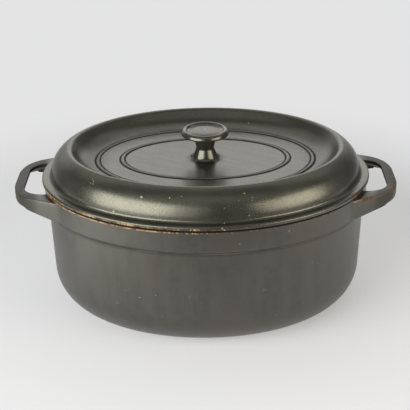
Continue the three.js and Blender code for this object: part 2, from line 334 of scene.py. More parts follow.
hole_reach = hole_rows[1][0] - hole_root
wide_half = hole_half + chamfer_width
wide_reach = hole_reach + chamfer_width
chamfer_top = hole_lip - chamfer_drop
wide_rows = [(hole_root, wide_half), (hole_root + wide_reach, wide_half)]
chamfer = board("hole_chamfer", wide_rows, band_bottom - overrun, chamfer_top, [(1, chamfer_corner)])
pick(chamfer, lambda place: place.z > chamfer_top - close_by)
bpy.ops.mesh.extrude_region_move(TRANSFORM_OT_translate={"value": (0, 0, (chamfer_drop + above_lip) * mm)})
narrowing = ((hole_reach - inside_lip) / wide_reach, (hole_half - inside_lip) / wide_half, 1)
bpy.ops.transform.resize(value=narrowing, center_override=(hole_root * mm, 0, 0))
bpy.ops.mesh.select_all(action="SELECT")
bpy.ops.mesh.normals_make_consistent(inside=False)
bpy.ops.object.mode_set(mode="OBJECT")
join_or_cut(handle, chamfer, "DIFFERENCE")
print("the chamfered bar has", len(handle.data.polygons), "faces")

# %% [markdown]
# An oval plug cuts off the part that would stand inside the pot, and the bar, with a copy turned half round for the
# left side, is joined to the casting with a boolean, so that pot and handles are one mesh as they are one casting.

# %% Fit the bar to the pot
plug_half_length = 155.0

plug_rings = ovals([(plug_half_length, 104.0), (plug_half_length, 134.0)])
plug = start_ring("plug", oval_corners, plug_rings[0], filled=True)
carry_ring(plug_rings)
bpy.ops.mesh.edge_face_add()
close_shell(plug, smooth_angle=40)
join_or_cut(handle, plug, "DIFFERENCE")
print("the fitted bar has", len(handle.data.polygons), "faces")

# %% Copy it and join both to the pot
bpy.ops.object.duplicate()
left_handle = bpy.context.object
left_handle.name = left_handle.data.name = "left_handle"
bpy.ops.transform.rotate(value=math.pi, orient_axis="Z", center_override=(0, 0, 0))
bpy.ops.object.transform_apply(location=True, rotation=True, scale=True)
join_or_cut(pot, handle, "UNION")
join_or_cut(pot, left_handle, "UNION")
bpy.ops.object.shade_smooth_by_angle(angle=math.radians(38))
print("the pot with handles has", len(pot.data.polygons), "faces")

# %% [markdown]
# ## The lid
# The lid is a casting of its own: a thin flange that rests on the pot's rim, a hollow fillet, a big roll, a slope
# down to a sunk panel with two raised beads, and underneath a skirt that keeps it inside the rim. The rings start
# at the screw's hole, run out over the upper side and come back along the underside to the same hole.

# %% Lid: panel and beads
panel_top = 148.4
inner_bead = 81.0
outer_bead = 105.1
bead_margin = 3.4
bead_side = [(2.8, 0.0), (2.5, 0.03), (2.1, 0.14), (1.7, 0.32), (1.3, 0.53), (0.95, 0.69), (0.6, 0.81), (0.3, 0.88)]
bead_rise = 0.9


def bead(middle):
    """A low ridge on the panel, from its inner foot over its top to its outer foot."""
    near = [(middle - reach, panel_top + height) for reach, height in bead_side]
    far = [(middle + reach, panel_top + height) for reach, height in reversed(bead_side)]
    return near + [(middle, panel_top + bead_rise)] + far


upper = [(inner_bead - bead_margin, panel_top)] + bead(inner_bead) + [(inner_bead + bead_margin, panel_top)]
upper += [(outer_bead - bead_margin, panel_top)] + bead(outer_bead)
print("the panel has", len(upper), "points")

# %% Lid: slope, roll and flange
lid_half_length = 160.0
flange_bottom = 131.3
flange_top = flange_bottom + 4.4
flange_round = 1.6
fillet_radius = 2.6
fillet_centre = (153.8, flange_top + fillet_radius)
roll_radius = 28.4
roll_centre = (122.85, 136.6)
roll_start = 66
crest_radius = 4.5
crest_centre = (132.57, 158.43)
trough_radius = 22.6
trough_centre = (108.0, panel_top + trough_radius)
slope_tilt = 52

upper += arc(*trough_centre, trough_radius, -90, slope_tilt - 90, 16)
upper += arc(*crest_centre, crest_radius, 90 + slope_tilt, roll_start, 10)
upper += arc(*roll_centre, roll_radius, roll_start, 3.4, 24)[1:]
upper += arc(*fillet_centre, fillet_radius, 180, 270, 7)[1:]
upper += arc(lid_half_length - flange_round, flange_top - flange_round, flange_round, 90, 0, 5)
print("the upper side has", len(upper), "points")

# %% Lid: underside
lid_wall = 4.2
skirt_outside = 150.06
skirt_inside = 146.06
skirt_bottom = 125.3
skirt_round = 0.8

lower = arc(lid_half_length - flange_round, flange_bottom + flange_round, flange_round, 0, -90, 5)
lower += [(150.9, flange_bottom), (150.3, flange_bottom - 0.3), (skirt_outside, flange_bottom - 0.9)]
lower += arc(skirt_outside - skirt_round, skirt_bottom + skirt_round, skirt_round, 0, -90, 4)
lower += arc(skirt_inside + skirt_round, skirt_bottom + skirt_round, skirt_round, -90, -180, 4)
lower += [(skirt_inside, 135.0)]
lower += arc(*roll_centre, roll_radius - lid_wall, 16.5, roll_start, 12)
lower += arc(*crest_centre, crest_radius - lid_wall, roll_start, 90 + slope_tilt, 3)[1:]
lower += arc(*trough_centre, trough_radius + lid_wall, slope_tilt - 90, -90, 8)
print("the underside has", len(lower), "points")

# %% Lid: shell
screw_hole = 3.3

hole_top = (screw_hole, screw_hole, panel_top)
hole_bottom = (screw_hole, screw_hole, panel_top - lid_wall)
rings = ovals(upper) + ovals(lower)
rings = [hole_top] + between(hole_top, rings[0], 3) + rings
rings = rings + between(rings[-1], hole_bottom, 4) + [hole_bottom, hole_top]
lid = start_ring("lid_casting", oval_corners, rings[0], filled=False)
carry_ring(rings)
close_shell(lid, smooth_angle=50)

# %% [markdown]
# ## The knob
# The knob is turned metal: a foot that runs out thin on the panel, a tight waist, a neck that widens again, and a cap
# with a raised rim round a shallow dish. It is round, so its rings are circles. A blind hole in the foot takes the
# screw from below.

# %% Knob: section above its base
knob_base = 148.6
screw_bore = [(2.0, 11.1), (3.3, 11.1)]
foot = [(3.3, -0.18), (17.2, -0.18)]
flare = [(16.4, -0.14), (15.4, 0.0), (14.5, 0.28), (13.7, 0.72), (13.0, 1.35), (12.4, 2.1), (11.85, 3.0)]
pedestal = [(11.3, 4.1), (10.8, 5.2), (10.35, 6.3), (9.9, 7.5), (9.45, 8.6), (9.05, 9.5)]
waist = [(8.75, 10.2), (8.6, 10.6), (8.62, 11.0)]
neck = [(8.75, 11.8), (9.0, 13.0), (9.35, 14.5), (9.7, 16.2),
        (10.15, 18.2), (10.65, 20.6), (11.05, 22.5), (11.4, 24.1)]
cap = [(12.2, 24.5), (13.8, 24.6), (21.8, 24.65), (22.5, 24.8), (22.9, 25.2), (23.0, 25.7)]
cap_side = [(22.95, 26.4), (22.75, 27.2), (22.4, 28.0), (21.9, 28.8), (21.3, 29.4)]
cap_rim = [(20.6, 29.8), (19.9, 29.98), (19.2, 29.95), (18.6, 29.7),
           (18.05, 29.25), (17.5, 28.7), (16.95, 28.3)]
dish = [(16.3, 28.1), (15.6, 28.1), (14.8, 28.25), (13.8, 28.45),
        (11.0, 28.75), (7.0, 28.95), (3.5, 29.03), (1.2, 29.05)]
section = screw_bore + foot + flare + pedestal + waist + neck + cap + cap_side + cap_rim + dish
print("the knob's section has", len(section), "points")

# %% Knob: shell
rings = circles([(radius, knob_base + height) for radius, height in section])
knob = start_ring("knob_turned", round_corners, rings[0], filled=True)
carry_ring(rings)
close_middle()
close_shell(knob, smooth_angle=50)

# %% [markdown]
# ## Riding on the CAD bodies
# Each casting takes the place of its CAD node and moves with that node's body, so the knob goes up with the lid.

# %% Ride and replace
for piece, node, body in ((pot, "pot", "pot"), (lid, "lid", "lid"), (knob, "knob", "lid")):
    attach(piece, body)
    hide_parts(node)
    node + "_enamel"
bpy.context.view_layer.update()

# %% [markdown]
# ## Camera
# The photograph was taken from a little above, on the long side. Its place, lens and slight tilt come from a fit to
# the ovals of the lid, the band and the base, with the picture taken as 410 by 410 pixels.

# %% Camera from the fit
picture_size = 410
focal_pixels = 1152.0
camera_elevation = math.radians(24.75)
camera_distance = 1148.5 * mm
camera_turn = math.radians(0.4)
camera_roll = math.radians(0.8)
camera_target = Vector((-0.93, 0, 97.5)) * mm

turn = Matrix.Rotation(camera_turn, 3, "Z")
back = turn @ Vector((0, -math.cos(camera_elevation), math.sin(camera_elevation)))
level_right = turn @ Vector((1, 0, 0))
level_up = turn @ Vector((0, math.sin(camera_elevation), math.cos(camera_elevation)))
right = level_right * math.cos(camera_roll) - level_up * math.sin(camera_roll)
up = level_right * math.sin(camera_roll) + level_up * math.cos(camera_roll)
camera_place = turn @ camera_target + back * camera_distance

camera_data = bpy.data.cameras.new("camera")
camera_data.sensor_width = 36
camera_data.lens = focal_pixels / picture_size * camera_data.sensor_width
camera = bpy.data.objects.new("camera", camera_data)
camera.matrix_world = Matrix.Translation(camera_place) @ Matrix((right, up, back)).transposed().to_4x4()
bpy.context.scene.collection.objects.link(camera)
bpy.context.scene.camera = camera
print("lens", round(camera_data.lens, 2), "mm at", [round(v, 3) for v in camera_place])

# %% [markdown]
# ## Shader sums in Python
# A finish mixes noise, masks and colours. Wiring dozens of Math nodes by hand hides the idea, so one small class
# wraps a socket and lets Python's operators add the Math nodes. Everything else comes from its node method.

# %% A socket that can be added and multiplied


class Shade:
    def __init__(self, tree, socket=None):
        self.tree = tree
        self.socket = socket

    def node(self, kind, settings=None, sockets=None, output=0):
        """Adds a node with its settings and the values or links of its sockets, and returns one of its outputs."""
        made = self.tree.nodes.new(kind)
        for name, value in (settings or {}).items():
            setattr(made, name, value)
        for name, value in (sockets or {}).items():
            if isinstance(value, Shade):
                self.tree.links.new(value.socket, made.inputs[name])
            else:
                made.inputs[name].default_value = value
        return Shade(self.tree, made.outputs[output])

    def maths(self, operation, first, second):
        return self.node("ShaderNodeMath", {"operation": operation}, {0: first, 1: second})

    def __add__(self, other):
        return self.maths("ADD", self, other)

    def __sub__(self, other):
        return self.maths("SUBTRACT", self, other)

    def __rsub__(self, other):
        return self.maths("SUBTRACT", other, self)

    def __mul__(self, other):
        return self.maths("MULTIPLY", self, other)

    def __pow__(self, power):
        return self.maths("POWER", self, power)

    def __abs__(self):
        return self.maths("ABSOLUTE", self, 0)

    __radd__ = __add__
    __rmul__ = __mul__

    def rises(self, low, high):
        """0 below low, 1 above high, and smooth between."""
        sockets = {"Value": self, "From Min": low, "From Max": high}
        return self.node("ShaderNodeMapRange", {"interpolation_type": "SMOOTHSTEP"}, sockets)

    def falls(self, low, high):
        return 1 - self.rises(low, high)

    def larger(self, other):
        return self.maths("MAXIMUM", self, other)

    def parts(self):
        """The three numbers of a vector."""
        split = self.node("ShaderNodeSeparateXYZ", None, {"Vector": self}).socket.node
        return [Shade(self.tree, socket) for socket in split.outputs]

    def feed(self, node, socket):
        self.tree.links.new(self.socket, node.inputs[socket])


print("sums of sockets ready")

# %% Mixing masks and colours, and finding a pixel's place


def largest(first, *others):
    """The strongest of several masks."""
    for mask in others:
        first = first.larger(mask)
    return first


def mixed(factor, first, second):
    """Mixes two colours, whose sockets on a Mix node are numbers 6 and 7, with the result at output 2."""
    return factor.node("ShaderNodeMix", {"data_type": "RGBA"}, {0: factor, 6: first, 7: second}, 2)


def seen_at(piece, across, down):
    """The place on a piece that the photograph shows at a pixel."""
    ray = (right * (across - picture_size / 2) - up * (down - picture_size / 2)) / focal_pixels - back
    hit, place = piece.ray_cast(camera_place, ray.normalized())[:2]
    if not hit:
        print(piece.name, "is not at pixel", across, down)
    return place


front_wall = seen_at(pot, across=205, down=287)
print("the middle of the front wall is at", [round(v, 3) for v in front_wall])

# %% [markdown]
# ## Sound and worn enamel
# Old enamel has two faces: sound glass, which shines, and places where it is worn or chipped and the iron has rusted,
# which are dull. One surface shader can't be both, because the shine itself differs. So each finish holds two, and a
# mask mixes them. The dull surface also carries painted shade in creases and seams, and some painted highlights. Rust
# and flecks that the photograph shows are put where a ray from its camera meets the casting.

# %% Masks by place


class Places:
    """Masks on the object's own coordinates, which are in metres. Sizes are given in millimetres."""

    def __init__(self, tree):
        self.start = Shade(tree)
        self.place = self.start.node("ShaderNodeTexCoord", output="Object")
        self.x, self.y, self.z = self.place.parts()

    def above(self, start, full):
        """0 up to one height and 1 from another."""
        return self.z.rises(start * mm, full * mm)

    def below(self, full, end):
        return self.z.falls(full * mm, end * mm)

    def beyond(self, start, full):
        """0 near the middle of the length and 1 towards both ends."""
        return (self.x * self.x).rises((start * mm) ** 2, (full * mm) ** 2)

    def from_axis(self):
        """The square of the distance from the Z axis."""
        return self.x * self.x + self.y * self.y

    def oval(self, half_length, narrower=oval_difference):
        """1 on an oval of this size, less inside it and more outside."""
        half_width = half_length - narrower
        along = self.x * self.x * (1 / (half_length * mm) ** 2)
        return along + self.y * self.y * (1 / (half_width * mm) ** 2)

    def left_front(self):
        """1 at the front left, where the photograph shows the most rust and the most painted highlight on the lips."""
        return (0 - self.x - 0.35 * self.y).rises(-0.03, 0.12)

    def patches(self, piece, pixels, ragged):
        """1 in ragged patches, each given by a pixel of the photograph and a radius."""
        total = 0
        for across, down, radius in pixels:
            ends = {0: self.place, 1: seen_at(piece, across, down)}
            away = self.start.node("ShaderNodeVectorMath", {"operation": "DISTANCE"}, ends, "Value")
            uneven = away + (ragged - 0.5) * (1.6 * radius * mm)
            total = uneven.falls(0.45 * radius * mm, radius * mm).larger(total)
        return total


print("masks ready")

# %% A finish with two surfaces
worn_roughness = 0.7
worn_ior = 1.2


class Finish(Places):
    """A material with a sound and a worn surface."""

    def __init__(self, name):
        self.material = bpy.data.materials.new(name)
        self.material.use_nodes = True
        self.nodes = self.material.node_tree.nodes
        self.surface = self.nodes["Principled BSDF"]
        super().__init__(self.material.node_tree)

    def noise(self, scale, detail=2.0, stretch=(1, 1, 1), turn=0.0):
        """Noise that is drawn out by the stretch along axes turned about Z."""
        sockets = {"Vector": self.place, "Rotation": (0, 0, turn), "Scale": stretch}
        place = self.start.node("ShaderNodeMapping", {"vector_type": "TEXTURE"}, sockets)
        return self.start.node("ShaderNodeTexNoise", None, {"Vector": place, "Scale": scale, "Detail": detail})

    def bumped(self, height, depth):
        sockets = {"Strength": 1.0, "Distance": depth, "Height": height}
        return self.start.node("ShaderNodeBump", None, sockets)

    def share(self, amount, other):
        """Shows another shader in place of the sound surface where the amount is 1."""
        sound = Shade(self.start.tree, self.surface.outputs[0])
        both = self.start.node("ShaderNodeMixShader", None, {0: amount, 1: sound, 2: other})
        both.feed(self.nodes["Material Output"], "Surface")

    def wear_and_shade(self, amount, colour, normal):
        """Shows a dull worn surface where the amount is 1; it also carries painted shade and painted highlights."""
        sockets = {"Base Color": colour, "Roughness": worn_roughness, "IOR": worn_ior, "Normal": normal}
        self.share(amount, self.start.node("ShaderNodeBsdfPrincipled", None, sockets))

    def constant(self, **values):
        for name, value in values.items():
            self.surface.inputs[name.replace("_", " ")].default_value = value

    def put_on(self, piece):
        piece.data.materials.clear()
        piece.data.materials.append(self.material)
        print(self.material.name, "has", len(self.nodes), "nodes on", piece.name)


print("worn enamel has a roughness of", worn_roughness)

# %% Colours of enamel and rust
olive_shine = (1.0, 0.985, 0.79, 1)
grey_shine = (1.0, 0.98, 0.86, 1)
enamel_grey = (0.018, 0.0175, 0.0145, 1)
# painted shade with rust brown for the seam between lid and rim
seam_shade_rust_brown = (0.010, 0.006, 0.003, 1)
dark_rust = (0.055, 0.027, 0.012, 1)
bright_rust = (0.19, 0.090, 0.042, 1)
# tan of rust, lightened to paint the highlight on the lips' edges
tan_rust_and_highlight = (0.38, 0.275, 0.16, 1)
pale_chip = (0.40, 0.38, 0.31, 1)
yellow_fleck = (0.24, 0.20, 0.10, 1)


def rust_colour(grain):
    return mixed(grain.rises(0.35, 0.65), dark_rust, bright_rust)


print("rust runs from", dark_rust[:3], "to", bright_rust[:3])

# %% [markdown]
# ## Enamel on the lid
# The enamel is nearly black and satin: most of what one sees on it is reflection, from the pale room on the sunk
# panel to the two light boxes on the roll. It has a fine sandy grain, a slow unevenness from the casting, and the
# panel is wiped in faint slanting strokes. Both ends are browned a little by the oven.

# %% Lid: patterns
recess_half_length = 122.0

lid_finish = Finish("lid_enamel")
lid_finish.constant(IOR=1.92, Specular_Tint=olive_shine)
x, y = lid_finish.x, lid_finish.y
grain = lid_finish.noise(scale=950, detail=1.0)
unevenness = lid_finish.noise(scale=70)
cloud = lid_finish.noise(scale=28, detail=3.0)
wiping = lid_finish.noise(scale=150, detail=3.0, stretch=(1, 7, 1), turn=1.0)
ragged = lid_finish.noise(scale=420, detail=3.0)
recess = lid_finish.oval(recess_half_length).falls(0.88, 1.0)
panel = recess * lid_finish.below(panel_top + 0.6, panel_top + 2.6)
ends = lid_finish.beyond(147, 159)
print("lid patterns ready")

# %% Lid: sound enamel
black_enamel = (0.010, 0.010, 0.008, 1)
wiped_enamel = (0.045, 0.042, 0.037, 1)
browned_enamel = (0.075, 0.050, 0.024, 1)

colour = mixed(cloud.rises(0.35, 0.65), black_enamel, enamel_grey)
colour = mixed(panel * wiping.rises(0.38, 0.66), colour, wiped_enamel)
colour = mixed(ends * cloud.rises(0.42, 0.6) * 0.7, colour, browned_enamel)
roughness = 0.23 + 0.06 * cloud + 0.05 * grain + panel * 0.05 * wiping
roughness.feed(lid_finish.surface, "Roughness")
normal = lid_finish.bumped(grain * 0.05 + unevenness * 0.12 + panel * wiping * 0.03, 1 * mm)
normal.feed(lid_finish.surface, "Normal")
print("lid enamel has an IOR of", round(lid_finish.surface.inputs["IOR"].default_value, 2))

# %% [markdown]
# Painted shade darkens the creases along the beads, the foot of the knob and the ends of the recess, as a dull dark
# surface. Along its lower lip, which knocks on the pot, the enamel has rusted, and the rust's tan is lightened to paint
# the highlight on that edge. Painted shade with rust brown darkens the seam where lid and rim meet. A fine speckle of
# dull grains lies all over.

# %% Lid: painted shade, rust lip and speckle
def creases(bead_middle):
    """The painted shade along both sides of a bead."""
    half_length = bead_middle * mm
    reach = half_length - oval_difference * mm + x * x * (oval_difference * mm / half_length ** 2)
    aside = abs((lid_finish.oval(bead_middle) ** 0.5 - 1) * reach)
    return aside.rises(1.1 * mm, 1.8 * mm) * (aside + (cloud - 0.5) * mm).falls(2.7 * mm, 3.9 * mm)


# Painted shade: dull dark enamel along the beads, round the knob's foot and at the recess ends.
bead_shade = creases(outer_bead).larger(creases(inner_bead)) * 0.9
shade_round_knob = (lid_finish.from_axis() + (ragged - 0.5) * 0.0001).falls((15 * mm) ** 2, (21 * mm) ** 2) * 0.3
recess_end_shade = lid_finish.beyond(88, 106) * (0.2 + 0.1 * x.falls(-0.05, 0.05))
upper_side = lid_finish.above(panel_top - 1.9, panel_top - 0.9)
painted_shade_lines = recess * upper_side * largest(bead_shade, shade_round_knob, recess_end_shade)
# Painted shade with rust brown where the lid's flange meets the rim.
seam_shade_and_rust = lid_finish.below(flange_bottom + 0.5, flange_bottom + 1.2)
# Rust on the lid's lower lip, its tan lightened to paint the highlight on the edge.
lip = lid_finish.below(flange_bottom + 2.3, flange_bottom + 3.1)
lip = lip * (ragged + 0.2 * lid_finish.left_front()).rises(0.6, 0.7)
speckle = grain.rises(0.48, 0.7) * 0.3
print("creases lie along the beads at", inner_bead, "and", outer_bead, "mm")

# %% Lid: rust, chips, flecks and pits in the photograph
rust_pixels = [(356.5, 194.5, 3.6), (353.5, 196.2, 3.0), (359.2, 192.6, 2.6), (50.0, 195.5, 2.6), (53.0, 199.0, 2.2),
               (46.8, 190.5, 2.0)]
chip_and_glint_pixels = [(158.7, 132.4, 0.9), (248.6, 123.4, 0.7), (303.0, 151.5, 0.8), (141.3, 197.2, 1.5), (224.5, 223.2, 0.8),
               (224.5, 230.2, 0.9), (113.6, 212.0, 1.0), (63.3, 207.2, 0.9), (169.5, 198.0, 0.8), (249.3, 215.4, 0.6)]
fleck_pixels = [(92.5, 179.4, 0.9), (93.6, 181.6, 1.0), (93.0, 184.0, 0.9), (90.6, 183.0, 0.7), (113.2, 210.6, 1.4),
                (244.4, 193.4, 0.9), (252.3, 197.2, 0.9), (252.0, 200.2, 0.7), (238.6, 200.6, 0.7), (228.5, 206.5, 0.6),
                (224.4, 208.4, 0.7), (222.4, 228.8, 1.1), (174.1, 211.0, 0.7), (181.4, 196.4, 0.7), (145.7, 141.2, 0.9)]
pit_pixels = [(302.8, 160.5, 0.9), (305.0, 160.0, 0.7)]

rust = lid_finish.patches(lid, rust_pixels, ragged)
chips_and_glint = lid_finish.patches(lid, chip_and_glint_pixels, ragged) * 0.8
flecks = lid_finish.patches(lid, fleck_pixels, ragged) * 0.85
pits = lid_finish.patches(lid, pit_pixels, ragged)
print("lid has", len(rust_pixels), "rust spots,", len(chip_and_glint_pixels), "chips and", len(fleck_pixels), "flecks")

# %% Lid: worn surface
pit_black = (0.002, 0.002, 0.002, 1)
# dark colour of the painted shade along the beads, round the knob and at the recess ends
shade_black = (0.004, 0.004, 0.003, 1)

colour = mixed(pits, colour, pit_black)
colour.feed(lid_finish.surface, "Base Color")
wear_and_shade_colour = mixed(painted_shade_lines, colour, shade_black)
wear_and_shade_colour = mixed(rust, wear_and_shade_colour, rust_colour(grain))
wear_and_shade_colour = mixed(lip, wear_and_shade_colour, mixed(unevenness.rises(0.35, 0.65), dark_rust, tan_rust_and_highlight))
wear_and_shade_colour = mixed(seam_shade_and_rust, wear_and_shade_colour, seam_shade_rust_brown)
wear_and_shade_colour = mixed(flecks.rises(0.1, 0.4), wear_and_shade_colour, yellow_fleck)
wear_and_shade_colour = mixed(chips_and_glint.rises(0.1, 0.4), wear_and_shade_colour, pale_chip)
lid_finish.wear_and_shade(largest(rust, lip, seam_shade_and_rust, chips_and_glint, flecks, pits, speckle, painted_shade_lines), wear_and_shade_colour, normal)
lid_finish.put_on(lid)

# %% [markdown]
# ## Enamel on the knob
# The knob is handled all day, so its enamel is polished smoother than the lid's and reflects more sharply. Only the
# dish on its cap is rubbed a little duller. Painted shade darkens its foot where it runs out on the panel, and a
# painted glint sits in the middle of the dish.

# %% Knob: sound enamel
knob_grey = (0.028, 0.026, 0.022, 1)

knob_finish = Finish("knob_enamel")
knob_finish.constant(IOR=1.80, Specular_Tint=olive_shine)
grain = knob_finish.noise(scale=950, detail=1.0)
cloud = knob_finish.noise(scale=90, detail=3.0)
mixed(cloud.rises(0.35, 0.65), enamel_grey, knob_grey).feed(knob_finish.surface, "Base Color")
(0.13 + 0.06 * cloud + 0.04 * grain).feed(knob_finish.surface, "Roughness")
normal = knob_finish.bumped(grain * 0.03 + cloud * 0.10, 1 * mm)
normal.feed(knob_finish.surface, "Normal")
print("knob enamel has an IOR of", round(knob_finish.surface.inputs["IOR"].default_value, 2))

# %% Knob: painted glint, painted shade at the foot and rubbed dish
# Painted glint: a pale speck in the middle of the dish.
chip_and_glint_pixels = [(204.8, 129.3, 0.9), (206.0, 129.0, 0.5)]
# dark colour of the painted shade at the foot and of the rubbed dish
foot_shade_and_rubbed_black = (0.006, 0.006, 0.005, 1)
knob_glint_white = (0.62, 0.62, 0.60, 1)

chips_and_glint = knob_finish.patches(knob, chip_and_glint_pixels, grain)
# Painted shade: dull dark enamel where the foot runs out on the panel.
knob_foot_shade = knob_finish.below(knob_base + 0.1, knob_base + 1.4) * 0.4
in_dish = knob_finish.from_axis().falls((15.5 * mm) ** 2, (17 * mm) ** 2)
rubbed = in_dish * knob_finish.above(knob_base + 26.4, knob_base + 27.4) * 0.25
knob_finish.wear_and_shade(largest(chips_and_glint, knob_foot_shade, rubbed), mixed(chips_and_glint, foot_shade_and_rubbed_black, knob_glint_white), normal)
knob_finish.put_on(knob)

# %% [markdown]
# ## Enamel on the pot
# The pot's enamel is the same colour but duller, with faint upright streaks from wiping, blotches, and a brown tinge
# from the hob round its foot.

# %% Pot: sound enamel
streak_dark = (0.008, 0.0085, 0.0075, 1)
streak_light = (0.020, 0.0195, 0.016, 1)
blotch_grey = (0.022, 0.0225, 0.020, 1)
cloud_brown = (0.021, 0.018, 0.015, 1)
foot_brown = (0.040, 0.024, 0.013, 1)

pot_finish = Finish("pot_enamel")
pot_finish.constant(IOR=1.82, Specular_Tint=grey_shine)
x, y = pot_finish.x, pot_finish.y
grain = pot_finish.noise(scale=950, detail=1.0)
unevenness = pot_finish.noise(scale=60)
streaks = pot_finish.noise(scale=100, detail=3.0, stretch=(1, 1, 6))
blotches = pot_finish.noise(scale=130)
cloud = pot_finish.noise(scale=24, detail=3.0)
ragged = pot_finish.noise(scale=420, detail=3.0)
colour = mixed(streaks.rises(0.3, 0.7), streak_dark, streak_light)
colour = mixed(blotches.rises(0.4, 0.7) * 0.5, colour, blotch_grey)
colour = mixed(cloud.rises(0.45, 0.7), colour, cloud_brown)
colour = mixed(pot_finish.below(4, 30) * cloud.rises(0.3, 0.6) * 0.6, colour, foot_brown)
(0.25 + 0.09 * streaks + 0.06 * grain + 0.09 * blotches + 0.05 * cloud).feed(pot_finish.surface, "Roughness")
normal = pot_finish.bumped(grain * 0.04 + unevenness * 0.1, 1 * mm)
normal.feed(pot_finish.surface, "Normal")
print("pot enamel has an IOR of", round(pot_finish.surface.inputs["IOR"].default_value, 2))

# %% [markdown]
# Heat and hands have dulled the handles, cooking has dulled the inside, and the rim and the upper edges of the
# handles have rusted where the lid and other pots knock on them; on the rim the tan of the rust is lightened to paint
# the highlight on the edge. The edges are found by their normals, which lie between upright and level. Painted
# shade darkens the crease under the band, and a painted highlight runs pale along it in places.

# %% Pot: inside, handles and edges
facing = pot_finish.start.node("ShaderNodeNewGeometry", output="True Normal").parts()
inwards = (0 - x * facing[0] - y * facing[1]).rises(0.004, 0.02)
grip = pot_finish.beyond(157, 166)
inside = inwards.larger(facing[2].rises(0.5, 0.8) * pot_finish.below(40, 50)) * (1 - grip)
on_handle = pot_finish.oval(band_half_length + 0.4).rises(1.0, 1.015)
outer_side = (1 - inwards) * (1 - on_handle)
right_end = x.rises(0, 0.1)
edge = facing[2].rises(0.12, 0.4) * facing[2].falls(0.94, 0.995)
edge_rust = edge * grip * (1 - inwards) * pot_finish.above(handle_top - 5.4, handle_top - 3.4)
edge_rust = edge_rust * (ragged + 0.06 + 0.16 * right_end).rises(0.5, 0.62)
print("handles start outside the band's", band_half_length, "mm")

# %% Pot: rim, crease and base
# Painted shade with rust brown where the rim meets the lid.
seam_shade_and_rust = pot_finish.above(pot_height - 1.9, pot_height - 1.4)
# Rust on the rim's outer lip, its tan lightened to paint the highlight on the edge.
lip = pot_finish.above(pot_height - 3.3, pot_height - 2.7) * outer_side
lip = lip * (ragged + 0.26 * pot_finish.left_front()).rises(0.58, 0.72)
# Painted shade: a dull dark band on the wall under the band's overhang.
under_band_shade = pot_finish.above(band_bottom - 6.5, band_bottom - 3.0) * pot_finish.below(band_bottom - 2.0, band_bottom - 0.6)
under_band_shade = under_band_shade * outer_side * 0.4
# Painted highlight: a pale line along the crease under the band, broken by noise.
band_edge_highlight = pot_finish.above(band_bottom - 3.4, band_bottom - 2.9)
band_edge_highlight = band_edge_highlight * pot_finish.below(band_bottom - 2.2, band_bottom - 1.6)
band_edge_highlight = band_edge_highlight * outer_side * cloud.rises(0.42, 0.6) * 0.6
base_rust = pot_finish.below(0.4, 2.5) * ragged.rises(0.5, 0.6)
print("the rim's rust starts at", pot_height - 3.3, "mm")

# %% Pot: rust, chips and scuffs in the photograph
rust_pixels = [(48.5, 197.0, 3.6), (389.5, 170.5, 2.6), (391.8, 174.0, 3.0), (393.6, 178.5, 3.0), (394.6, 183.0, 2.4),
               (394.6, 187.5, 3.0), (392.5, 190.0, 2.6), (389.0, 191.8, 1.8), (371.5, 197.6, 2.4), (368.0, 198.6, 3.0),
               (364.0, 199.8, 2.8), (328.5, 212.6, 2.4), (331.2, 210.8, 1.8), (279.0, 246.2, 1.2), (255.1, 331.3, 1.0),
               (288.4, 236.4, 1.2)]
chip_and_glint_pixels = [(139.8, 297.5, 0.7), (155.7, 295.4, 0.7), (289.3, 231.2, 0.9), (101.4, 222.8, 0.8), (356.0, 202.0, 1.2),
               (354.0, 202.6, 1.0), (239.8, 244.1, 0.7)]
scuff_pixels = [(161.8, 316.5, 1.6), (117.3, 302.6, 1.8), (189.5, 296.9, 1.8), (312.5, 262.5, 1.8), (318.0, 263.0, 1.4),
                (264.5, 290.0, 2.2), (275.5, 314.5, 1.4), (126.0, 290.0, 1.6), (128.5, 289.8, 1.4)]

rust = largest(edge_rust, base_rust, pot_finish.patches(pot, rust_pixels, ragged))
chips_and_glint = pot_finish.patches(pot, chip_and_glint_pixels, ragged) * 0.7
scuffs = pot_finish.patches(pot, scuff_pixels, ragged) * 0.35
print("pot has", len(rust_pixels), "rust spots,", len(chip_and_glint_pixels), "chips and", len(scuff_pixels), "scuffs")

# %% Pot: worn surface
# pale grey for scuffs and for the painted highlight under the band
scuff_and_highlight_grey = (0.09, 0.09, 0.08, 1)
worn_grey = (0.018, 0.017, 0.014, 1)
worn_brown = (0.030, 0.020, 0.012, 1)

mixed(scuffs.larger(band_edge_highlight), colour, scuff_and_highlight_grey).feed(pot_finish.surface, "Base Color")
wear_and_shade_colour = mixed(right_end * cloud.rises(0.4, 0.6), worn_grey, worn_brown)
wear_and_shade_colour = mixed(rust, wear_and_shade_colour, rust_colour(grain))
wear_and_shade_colour = mixed(lip, wear_and_shade_colour, mixed(blotches.rises(0.35, 0.6) * 0.8, bright_rust, tan_rust_and_highlight))
wear_and_shade_colour = mixed(seam_shade_and_rust, wear_and_shade_colour, seam_shade_rust_brown)
wear_and_shade_colour = mixed(chips_and_glint.rises(0.1, 0.4), wear_and_shade_colour, pale_chip)
pot_finish.wear_and_shade(largest(rust, lip, seam_shade_and_rust, chips_and_glint, grip * 0.52, inside * 0.5, under_band_shade), wear_and_shade_colour, normal)
pot_finish.put_on(pot)

# %% [markdown]
# ## Steel on the screw and washer
# They are bare turned steel under the lid, with fine marks from the lathe.

# %% Steel finish
steel_dark = (0.42, 0.42, 0.42, 1)
steel_light = (0.56, 0.55, 0.54, 1)

steel = Finish("bare_steel")
steel.constant(Metallic=1.0)
turning = steel.noise(scale=2500, detail=1.0)
mixed(turning, steel_dark, steel_light).feed(steel.surface, "Base Color")
(0.28 + 0.15 * turning).feed(steel.surface, "Roughness")
for node in ("knob_screw", "knob_washer"):
    steel.put_on(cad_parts[node])

